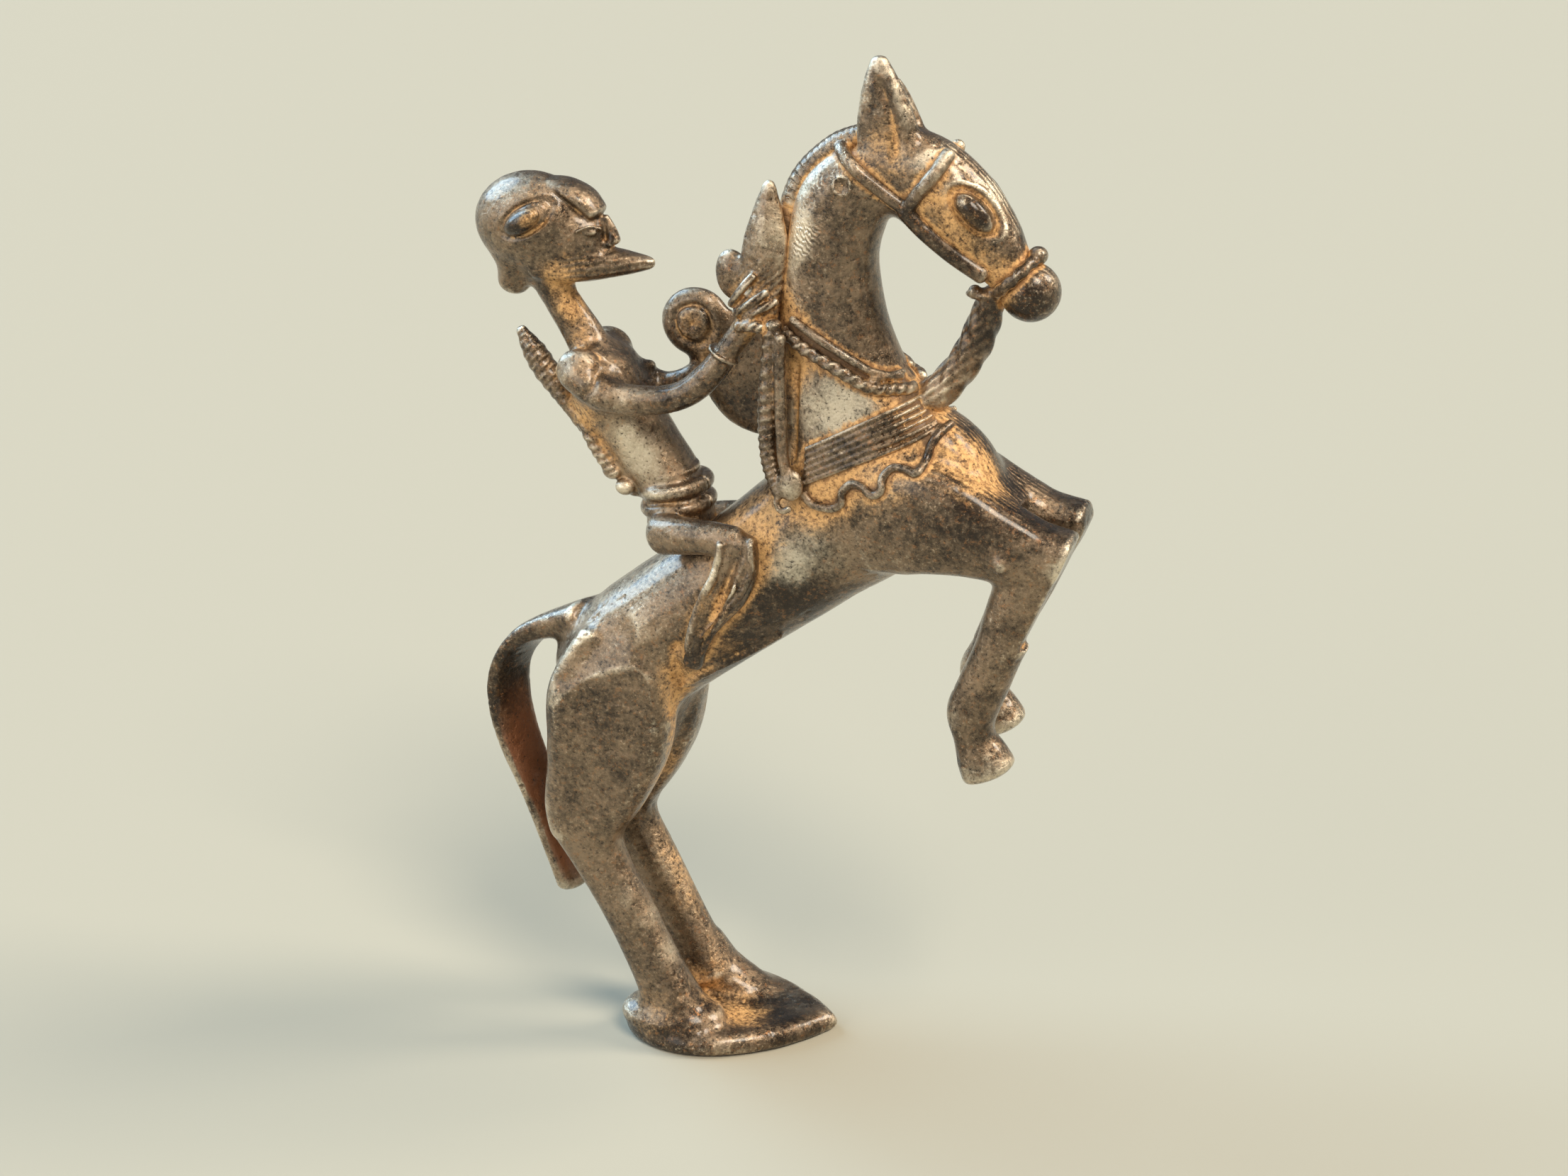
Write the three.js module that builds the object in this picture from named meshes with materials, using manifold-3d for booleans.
// A horse and rider, cast in one copper-alloy piece with a small teardrop plinth, in millimetres.
// The horse rears towards +X on its hind legs, +Z is up, and its near side faces -Y.
// The origin is on the underside of the plinth, below the hind feet.
import * as THREE from 'three';
import { mergeVertices } from 'three/addons/utils/BufferGeometryUtils.js';
import Module from 'manifold-3d';

const TRUNK_WIDTH = 17.6; // across the horse's barrel
const NECK_WIDTH = 10.4; // across the middle of the neck
const HEAD_WIDTH = 9; // across the horse's brow
const FORELEG_Y = 5.6; // from the middle to each foreleg
const HINDLEG_Y = 5.8; // from the middle to each hind leg
const PLINTH_HEIGHT = 3.4;
const PLINTH_BEVEL = 0.7;
const THREAD = 0.62; // radius of a wax thread
const BAND_THREADS = 5; // threads in the breast band on the near side
const FAR_THREADS = 3; // and on the plainer far side
const SCALLOPS = 4; // loops under the breast band
const STRAP_BEADS = 9; // beads on the near upright strap
const MANE_LOCKS = 7.5; // notched locks down the crest
const BRONZE = { color: 0x5b4632, roughness: 0.42, metalness: 0.9 };

const solids = [];
const wasm = await Module();
wasm.setup();

// Rows of numbers with more rows between them, on a Catmull-Rom curve through every row.
function smooth(rows, steps) {
  const at = (i) => rows[Math.min(Math.max(i, 0), rows.length - 1)];
  const out = [];
  for (let i = 0; i < rows.length - 1; i++) {
    for (let k = 0; k < steps; k++) {
      const t = k / steps;
      out.push(rows[0].map((_, c) => {
        const [p, q, r, s] = [at(i - 1)[c], at(i)[c], at(i + 1)[c], at(i + 2)[c]];
        return 0.5 * (2 * q + (r - p) * t + (2 * p - 5 * q + 4 * r - s) * t * t
          + (3 * q - p - 3 * r + s) * t * t * t);
      }));
    }
  }
  out.push([...at(rows.length - 1)]);
  return out;
}

// The middle, direction, depth axis and width axis of each row. Width lies as near to Y as it can.
function framesOf(rows) {
  const points = rows.map(([x, y, z]) => new THREE.Vector3(x, y, z));
  return points.map((middle, i) => {
    const before = points[Math.max(i - 1, 0)];
    const after = points[Math.min(i + 1, points.length - 1)];
    const along = after.clone().sub(before).normalize();
    const wide = new THREE.Vector3(0, 1, 0);
    wide.addScaledVector(along, -wide.dot(along));
    if (wide.length() < 0.2) wide.set(1, 0, 0).addScaledVector(along, -along.x);
    wide.normalize();
    return { middle, along, wide, deep: along.clone().cross(wide) };
  });
}

// A closed skin over rings that all have the same number of points.
function skin(rings) {
  const sides = rings[0].length;
  const points = rings.flat();
  const index = [];
  for (let i = 0; i < rings.length - 1; i++) {
    for (let j = 0; j < sides; j++) {
      const [a, b] = [i * sides + j, i * sides + ((j + 1) % sides)];
      index.push(a, b, a + sides, b, b + sides, a + sides);
    }
  }
  for (const [first, turned] of [[0, false], [(rings.length - 1) * sides, true]]) {
    const middle = new THREE.Vector3();
    for (let j = 0; j < sides; j++) middle.addScaledVector(points[first + j], 1 / sides);
    points.push(middle);
    for (let j = 0; j < sides; j++) {
      const [a, b] = [first + j, first + ((j + 1) % sides)];
      if (turned) index.push(a, b, points.length - 1);
      else index.push(b, a, points.length - 1);
    }
  }
  const geometry = new THREE.BufferGeometry().setFromPoints(points);
  geometry.setIndex(index);
  return geometry;
}

// A form carried along a path. Each row is [x, y, z, half depth, half width].
// power 2 gives an oval section and more gives a squarer one, ends says how far each end bulges,
// as a share of the depth there, and swell(along, angle) scales the section for twists and beads.
function loft(rows, { steps = 1, sides = 12, power = 2, ends = [0.7, 0.7], swell = () => 1 } = {}) {
  const fine = smooth(rows, steps);
  const frames = framesOf(fine);
  const ring = (i, scale, shift) => {
    const { middle, along, wide, deep } = frames[i];
    const points = [];
    for (let j = 0; j < sides; j++) {
      const angle = (2 * Math.PI * (j + 0.5)) / sides;
      const [c, s] = [Math.cos(angle), Math.sin(angle)];
      const size = scale * swell(i / (fine.length - 1), angle);
      points.push(middle.clone()
        .addScaledVector(deep, size * fine[i][3] * Math.sign(c) * Math.abs(c) ** (2 / power))
        .addScaledVector(wide, size * fine[i][4] * Math.sign(s) * Math.abs(s) ** (2 / power))
        .addScaledVector(along, shift));
    }
    return points;
  };
  const last = fine.length - 1;
  const rings = fine.map((_, i) => ring(i, 1, 0));
  if (ends[0]) rings.unshift(ring(0, 0.66, -0.75 * ends[0] * fine[0][3]));
  if (ends[1]) rings.push(ring(last, 0.66, 0.75 * ends[1] * fine[last][3]));
  return skin(rings);
}

// A round cord through points [x, y, z].
function cord(points, radius, options = {}) {
  return loft(points.map((p) => [...p, radius, radius]), { sides: 5, ...options });
}

function bead(middle, radii, turnY = 0, sides = 6) {
  const geometry = new THREE.SphereGeometry(1, sides, Math.round(0.7 * sides));
  geometry.scale(...radii);
  geometry.rotateY(turnY);
  geometry.translate(...middle);
  return geometry;
}

function solidOf(geometry) {
  const bare = geometry.clone();
  for (const name of ['normal', 'uv']) bare.deleteAttribute(name);
  const welded = mergeVertices(bare, 1e-4);
  const build = (triVerts) => new wasm.Manifold(new wasm.Mesh({
    numProp: 3, vertProperties: new Float32Array(welded.attributes.position.array), triVerts,
  }));
  const triVerts = new Uint32Array(welded.index.array);
  const solid = build(triVerts);
  return solid.volume() > 0 ? solid : build(triVerts.map((_, i) => triVerts[i - (i % 3) + 2 - (i % 3)]));
}

const add = (...geometries) => solids.push(...geometries.map(solidOf));

// The same form on the near side and the far side.
function addPair(geometry) {
  add(geometry, geometry.clone().scale(1, -1, 1));
}

// How far out the side of a form is, at a place seen from the side.
function sideOf(forms, x, z) {
  let out = 0;
  for (const { rows, power } of forms) {
    const fine = smooth(rows, 6);
    framesOf(fine).forEach(({ middle, along, deep }, i) => {
      const [dx, dz] = [x - middle.x, z - middle.z];
      if (Math.abs(dx * along.x + dz * along.z) > 1) return;
      const share = Math.abs(dx * deep.x + dz * deep.z) / fine[i][3];
      if (share >= 1) return;
      out = Math.max(out, Math.abs(middle.y) + fine[i][4] * (1 - share ** power) ** (1 / power));
    });
  }
  return out;
}

// Trunk, neck and head
const half = TRUNK_WIDTH / 2;
const trunk = [
  [-17.4, 0, 51.8, 8.4, half - 1.4],
  [-12.9, 0, 56, 9.3, half - 0.2],
  [-6.9, 0, 61.1, 9.3, half],
  [-0.6, 0, 65.9, 9.3, half - 0.2],
  [5.9, 0, 70.8, 9.4, half - 0.4],
  [12.4, 0, 76.2, 9.8, half - 0.6],
  [18.6, 0, 81, 10.2, half - 0.8],
  [24, 0, 85, 8.6, half - 1.4],
];
const nape = NECK_WIDTH / 2;
const neck = [
  [18.6, 0, 84, 12.4, 8],
  [18, 0, 91, 11.8, 7.4],
  [16.1, 0, 97, 9.3, 6.5],
  [15, 0, 103, 7.8, nape + 0.4],
  [14.4, 0, 109.5, 6.7, nape],
  [14.6, 0, 115.5, 6, nape - 0.2],
  [16.2, 0, 121.2, 6, nape - 0.4],
  [19.4, 0, 125, 5.4, nape - 0.6],
];
const brow = HEAD_WIDTH / 2;
const head = [
  [19.6, 0, 126.8, 4.2, brow - 0.7],
  [25.5, 0, 125.1, 5.8, brow],
  [30.5, 0, 121.5, 5.8, brow],
  [34.6, 0, 117.8, 4.7, brow - 0.7],
  [37.2, 0, 114.6, 3.4, brow - 1.3],
  [38.6, 0, 113, 3, brow - 1.6],
];
add(loft(trunk, { sides: 14, power: 2.3, ends: [0.65, 0.6] }));
add(loft(neck, { sides: 12, power: 2.4, ends: [0.3, 0.3] }));
add(loft(head, { sides: 10, power: 2.4, ends: [0.5, 0] }));
add(bead([40.3, 0, 111.5], [4, 3.7, 3.9], 0, 10));

// Foreleg: the forearm with its flat knee, and the folded shin down to the hoof
const foreleg = (y, reach, dx, dz) => [[
  [20, 0.8 * y, 82, 7.6, 4],
  [26, 0.86 * y, 83.2, 8.2, 4.6],
  [32, 0.96 * y, 82.6, 7, 4.4],
  [38, y, 81, 5.4, 4],
  [43, y, 79.8, 4.4, 3.8],
  [46 + reach, y, 79.2 + 0.4 * reach, 3.9 - 0.45 * reach, 3.6],
], [
  [44, y, 79.8, 4.1, 3.5],
  [41, y, 72.4, 4, 3.2],
  [38.8, y, 66, 3.6, 3],
  [36.3, y, 59.6, 3.6, 3],
  [35.3, y, 55.4, 2.8, 2.7],
  [36.5, y, 51.8, 3.1, 3],
  [37.8, y, 48.9, 3.4, 3.2],
]].map((rows) => rows.map(([x, along, z, ...size]) => [x + dx, along, z + dz, ...size]));
for (const [y, reach, dx, dz] of [[-FORELEG_Y, 1.2, 0.4, -0.8], [FORELEG_Y - 0.6, 2.6, -0.8, -0.4]]) {
  const [forearm, shin] = foreleg(y, reach, dx, dz);
  add(loft(forearm, { sides: 8, power: 2.6, ends: [0.3, 0.12] }));
  add(loft(shin, { sides: 8, power: 2.3, ends: [0.3, 0.45] }));
}
// The breast, and the web that joins the forearms
const breast = [
  [23, 0, 87, 10.4, 6],
  [29, 0, 85.5, 8.7, 6.6],
  [35, 0, 82.2, 5.4, 6],
  [41, 0, 80.8, 3.6, 4.4],
];
add(loft(breast, { sides: 8, power: 2.6, ends: [0.3, 0.2] }));

// Hind leg: the thigh, and the cannon down to the foot that spreads on the plinth
const hindleg = (y, dx) => [[
  [-12.6 + dx, 0.6 * y, 56, 9, 4.4],
  [-14.6 + dx, 0.9 * y, 50.4, 9, 4.6],
  [-15.2 + dx, y, 45, 8.6, 4.2],
  [-16.6 + dx, y, 39.6, 7.6, 3.8],
  [-18.4 + dx, y, 34, 6.2, 3.5],
  [-18.8 + dx, y, 30, 5, 3.3],
], [
  [-18.8 + dx, y, 31, 4.8, 3.3],
  [-16.8 + dx, y, 26.4, 3.9, 3],
  [-13.8 + dx, y, 21, 3.5, 3],
  [-10.6 + dx, y, 14.6, 3.5, 3],
  [-7.8 + dx, y, 8.6, 3.7, 3.3],
  [-6 + dx, y, 4, 4.6, 4],
]];
for (const [y, dx] of [[-HINDLEG_Y, 0], [HINDLEG_Y - 0.6, 0.8]]) {
  const [thigh, cannon] = hindleg(y, dx);
  add(loft(thigh, { sides: 8, power: 2.8, ends: [0.3, 0.3] }));
  add(loft(cannon, { sides: 7, power: 2.4, ends: [0.3, 0.1] }));
}
add(bead([-5.4, -6.2, 3.6], [7.6, 4.8, 3.1], 0, 10), bead([-1.8, 6.2, 3.8], [6.6, 4.6, 3.4], 0, 10));

// Tail: a flat band that leaves the croup, hangs in a bow and touches the hocks
add(loft([
  [-19, 0, 60.6, 2.6, 4],
  [-24.6, 0, 58.7, 2.1, 3.4],
  [-28.8, 0, 56.5, 1.7, 3.6],
  [-31.7, 0, 52.4, 1.8, 3.9],
  [-32.5, 0, 47.4, 1.9, 4],
  [-31.4, 0, 41.4, 1.9, 3.8],
  [-29, 0, 35, 1.8, 3.4],
  [-26.2, 0, 27, 1.8, 3],
  [-23.6, 0, 18.8, 1.8, 2.6],
], { sides: 6, power: 3, ends: [0, 1] }));

// Plinth: a teardrop plate with its point to the front
function plinth() {
  const outline = new THREE.Shape();
  outline.moveTo(15.4, 2.6);
  outline.bezierCurveTo(12.6, -2.2, 8.4, -7.4, 2, -10.2);
  outline.bezierCurveTo(-5, -13, -13.2, -10.4, -14.2, -4);
  outline.bezierCurveTo(-15, 2.6, -11.8, 9.6, -6.6, 11.6);
  outline.bezierCurveTo(0, 13.2, 8.6, 10.6, 15.4, 2.6);
  return new THREE.ExtrudeGeometry(outline, {
    depth: PLINTH_HEIGHT - 2 * PLINTH_BEVEL, curveSegments: 5, bevelEnabled: true, bevelSegments: 1,
    bevelSize: PLINTH_BEVEL, bevelThickness: PLINTH_BEVEL, bevelOffset: -PLINTH_BEVEL,
  }).translate(0, 0, PLINTH_BEVEL);
}
add(plinth());

// Horse's ears, eyes and mane
const ear = (y, dx) => [
  [24.2 + dx / 2, 1.6 * y, 122.8, 1, 0.9],
  [22.4 + dx, 1.4 * y, 126.6, 3, 1.3],
  [21.2 + dx, y, 130.8, 3.6, 1.4],
  [20.7 + dx, 0.9 * y, 135.4, 2.5, 1.2],
  [20.4 + dx / 2, 0.8 * y, 139.4, 1, 0.9],
];
add(loft(ear(-1.8, 0), { sides: 6, ends: [0.8, 0.8] }), loft(ear(1.8, 1.2), { sides: 6, ends: [0.8, 0.8] }));
const eyeTilt = THREE.MathUtils.degToRad(50);
addPair(bead([33.9, 3.5, 122], [3.6, 1.5, 1.8], eyeTilt, 8));
add(loft([
  [19, 0, 129.8, 1.5, 1.7],
  [15, 0, 127.9, 1.7, 2],
  [11, 0, 123.7, 1.8, 2.1],
  [9, 0, 118, 1.7, 2.2],
  [8.2, 0, 111, 1.7, 2.3],
  [8, 0, 105, 1.6, 2.3],
], { steps: 3, sides: 4, swell: (t) => 1.1 + 0.14 * Math.cos(2 * Math.PI * MANE_LOCKS * t) }));

// Bridle, bit and rein
const onHead = [{ rows: head, power: 2.4 }, { rows: neck, power: 2.4 }];
const laid = (forms, rise) => ([x, z]) => [x, sideOf(forms, x, z) + rise, z];
addPair(cord([[16.4, 128.4], [19.4, 125.8], [22.4, 123.6], [25.4, 121.6]].map(laid(onHead, 0.1)), 0.9));
addPair(cord([[30.2, 129.4], [29.2, 127.2], [27, 124.5], [25.5, 122.2]].map(laid(onHead, 0.17)), 0.86));
addPair(cord([[25.1, 121.9], [29.6, 118.7], [33.6, 115.5], [37.3, 112.7]].map(laid(onHead, 0.23)), 0.88));
add(bead([40.6, 0, 116.2], [1.5, 1.7, 1.4]));
add(new THREE.TorusGeometry(3.4, 0.85, 4, 10).scale(1, 0.92, 1)
  .rotateY(-Math.PI / 4).translate(38.6, 0, 113.4));
const rein = [
  [35.6, 0, 110.6, 1.7, 2.2],
  [34.6, 0, 107.4, 2.1, 2],
  [33.3, 0, 103.8, 2.2, 2],
  [31.2, 0, 100.2, 2.2, 2],
  [28.4, 0, 97, 2.3, 2.4],
  [25, 0, 94.6, 2.6, 3],
];
add(loft(rein, {
  steps: 3, sides: 5, swell: (t, angle) => 1 + 0.12 * Math.cos(12 * 2 * Math.PI * t - angle),
}));

// Straps on the neck, and the breast band with its scallops
const shoulder = foreleg(FORELEG_Y, 0, 0.4, -0.8)[0];
const onChest = [
  { rows: neck, power: 2.4 }, { rows: trunk, power: 2.3 }, { rows: shoulder, power: 2.6 },
  { rows: breast, power: 2.6 }, { rows: rein, power: 2 },
];
addPair(cord([[9.2, 104.4], [13.6, 101.8], [18.2, 99.8], [22.6, 98.4], [27.4, 97.6]]
  .map(laid(onChest, 0.1)), 1.3));
const strap = [[8.6, -6, 106], [8, -6.6, 96], [8.4, -7, 88.6], [10.2, -7.8, 84.4]];
add(cord(strap, 1.3, {
  steps: (2 * STRAP_BEADS) / 3, sides: 5, swell: (t) => 1 + 0.14 * Math.cos(2 * Math.PI * STRAP_BEADS * t),
}));
add(cord(strap.map(([x, y, z]) => [x, -y, z]), 1.3));
add(cord([[11.4, 102.4], [11.2, 96], [11.6, 88.4]].map(laid(onChest, 0.2)), 0.8).scale(1, -1, 1));
// The band is one strip with a ridge for each thread, from the strap's foot up to the breast
const band = (threads) => skin([0, 0.33, 0.67, 1].map((along) => {
  const place = (across) => [
    12.6 + 17 * along + 0.8 * along * across,
    89.4 + 8 * along - (4.8 - 1.2 * along) * across,
  ];
  const points = [];
  for (let i = 0; i <= 2 * threads; i++) {
    points.push(laid(onChest, i % 2 ? THREAD + 0.3 : 0.3)(place(i / (2 * threads))));
  }
  for (const across of [0.97, 0.5, 0.03]) points.push(laid(onChest, -2.2)(place(across)));
  return points.map((p) => new THREE.Vector3(...p));
}));
add(band(BAND_THREADS).scale(1, -1, 1), band(FAR_THREADS));
const scallopPoints = [];
for (let i = 0; i <= SCALLOPS * 4; i++) {
  const t = i / (SCALLOPS * 4);
  const along = t ** 0.85;
  scallopPoints.push([
    11 + 20 * along, 82.8 + 11 * along ** 2.3 + 1.7 * (1 - Math.abs(Math.cos(Math.PI * SCALLOPS * t))),
  ]);
}
add(cord(scallopPoints.map(laid(onChest, 0.45)), THREAD + 0.15, { sides: 4 }).scale(1, -1, 1));
addPair(bead([11.4, 8, 83.4], [2, 1.2, 2], 0, 6));

// Rider: the body with its rolled belt, the neck and the head
add(loft([
  [-18.6, 0, 98.6, 2.6, 4.6],
  [-17, 0, 95.6, 4.2, 6],
  [-14, 0, 90.6, 4.1, 5.15],
  [-10.4, 0, 85.4, 4, 4.4],
  [-8, 0, 82, 3.9, 4.3],
  [-7.2, 0, 80.4, 5, 5.3],
  [-6.8, 0, 79, 4.3, 4.8],
  [-6.4, 0, 77.4, 4.9, 5.6],
  [-6.2, 0, 75.6, 4.4, 5],
], { sides: 10, power: 2.3, ends: [0.4, 0.3] }));
add(loft([
  [-17, 0, 95.4, 3.2, 3.4],
  [-19.4, 0, 100, 2.9, 2.7],
  [-22.6, 0, 105, 2.8, 2.5],
  [-25, 0, 109.6, 3.2, 2.8],
], { sides: 7 }));
add(bead([-26.4, 0, 115.2], [8, 5.4, 6.6], 0, 10));
add(loft([
  [-22.6, 0, 113.4, 5.4, 4.4],
  [-19.4, 0, 113, 4.8, 3.6],
  [-17.6, 0, 112.8, 4.2, 2.8],
], { sides: 10, ends: [0.4, 0.35] }));
add(loft([
  [-22, 0, 110, 1.9, 3.4],
  [-15, 0, 110.6, 1.6, 2.6],
  [-9.8, 0, 111.2, 1, 1.4],
], { sides: 8, ends: [0.4, 0.8] }));
add(bead([-16, 0, 113.6], [1.5, 1, 1.7]));
addPair(bead([-18.8, 2.9, 115.2], [1.4, 0.8, 0.8]));
add(bead([-19.6, 0, 119], [4.4, 4, 1.6], 0.4));
addPair(bead([-26.6, 5, 116], [1.9, 1.3, 2.6], 0.5));
add(loft([
  [-28.6, 0, 113, 5, 4.2],
  [-28.5, 0, 109.4, 3.2, 3.1],
  [-29.3, 0, 106.8, 2.2, 2.4],
], { sides: 7 }));

// Rider's arms and legs, and the sheath on the back
addPair(bead([-18.2, 5.4, 97], [3.2, 2.4, 3]));
add(loft([
  [-18.3, -5.5, 96.7, 2.2, 2],
  [-14.6, -6.2, 94.5, 2.2, 2.1],
  [-9.4, -6.2, 94.2, 2.1, 2.1],
  [-4, -6, 95.2, 2.2, 2.1],
  [-0.2, -5.4, 98.4, 2.1, 2],
  [2.8, -4.8, 102.6, 1.9, 1.9],
  [5.2, -4.2, 106, 1.9, 2],
], { sides: 6 }));
add(loft([
  [-18.4, 5.6, 96.6, 2, 2],
  [-14.6, 6, 94, 1.8, 1.8],
  [-10.4, 5.6, 92.8, 1.7, 1.7],
  [-6.4, 5.2, 94.4, 1.6, 1.6],
  [-3.4, 5, 97.4, 1.6, 1.6],
], { sides: 6 }));
add(bead([5.6, -4, 107.4], [2.9, 2.2, 3], 0, 8));
add(bead([2, -2.2, 111], [2.5, 1.6, 3.4], -0.2, 7));
add(loft([
  [6.4, -3.4, 106, 2.2, 1.4],
  [6.4, -3.2, 111, 2.9, 1.5],
  [6.6, -3, 115.4, 3.2, 1.5],
  [6.8, -2.8, 119.4, 2.2, 1.2],
  [7, -2.6, 123.2, 0.9, 0.7],
], { sides: 6, ends: [0.4, 0.8] }));
const riderLeg = (side, drop) => [[
  [-6.8, 5.6, 75.8, 2.9, 2.6],
  [-3.6, 7.4, 76.6, 2.7, 2.2],
  [0.8, 8.2, 77, 2.5, 2],
  [4.6, 8.4, 76.2, 2.3, 1.9],
], [
  [4.4, 8.4, 76, 2.3, 1.8],
  [3.2, 8.9, 70.6, 2.8, 1.7],
  [1.2, 9, 66, 2.6, 1.6],
  [-0.8, 8.8, 61.6, 2.4, 1.5],
  [-2, 8.4, 58, 2.1, 1.5],
]].map((rows) => rows.map(([x, y, z, ...size]) => [x, side * y, z - drop, ...size]));
for (const [side, drop] of [[-1, 0], [1, 3]]) {
  for (const rows of riderLeg(side, drop)) add(loft(rows, { sides: 7, power: 2.2 }));
}
add(loft([
  [-28.6, -1, 100.4, 0.9, 1.1],
  [-27.2, -1, 97.4, 1.2, 1.3],
  [-24.4, -1, 94.4, 1.4, 1.4],
  [-20.6, -1.4, 91.8, 1.6, 1.5],
  [-17.2, -2, 88.6, 1.5, 1.5],
  [-14.8, -2.6, 85, 1.5, 1.5],
], { sides: 6 }));
add(bead([-14.4, -2.8, 83], [1.9, 1.8, 1.7]));

// Shield: a bent plate on the far side, with a rolled top
add(loft([
  [-4.2, 5.2, 100.8, 4.4, 1.8],
  [-0.6, 5.4, 97.4, 6.2, 1.6],
  [1.4, 5.4, 92.4, 4.9, 1.5],
  [5, 5, 89.6, 3, 1.4],
], { sides: 8, ends: [0.6, 0.3] }));
add(bead([-5.6, 5, 102], [4.9, 2.4, 4.8], 0, 10));

// One body out of all the forms
let body = solids[0];
for (const solid of solids.slice(1)) body = body.add(solid);
const { vertProperties, triVerts } = body.getMesh();
const geometry = new THREE.BufferGeometry();
geometry.setAttribute('position', new THREE.BufferAttribute(new Float32Array(vertProperties), 3));
geometry.setIndex(new THREE.BufferAttribute(new Uint32Array(triVerts), 1));
geometry.computeVertexNormals();
const casting = new THREE.Mesh(geometry, new THREE.MeshStandardMaterial(BRONZE));
casting.name = 'horse_and_rider';
const part = new THREE.Group();
part.add(casting);
export default part;
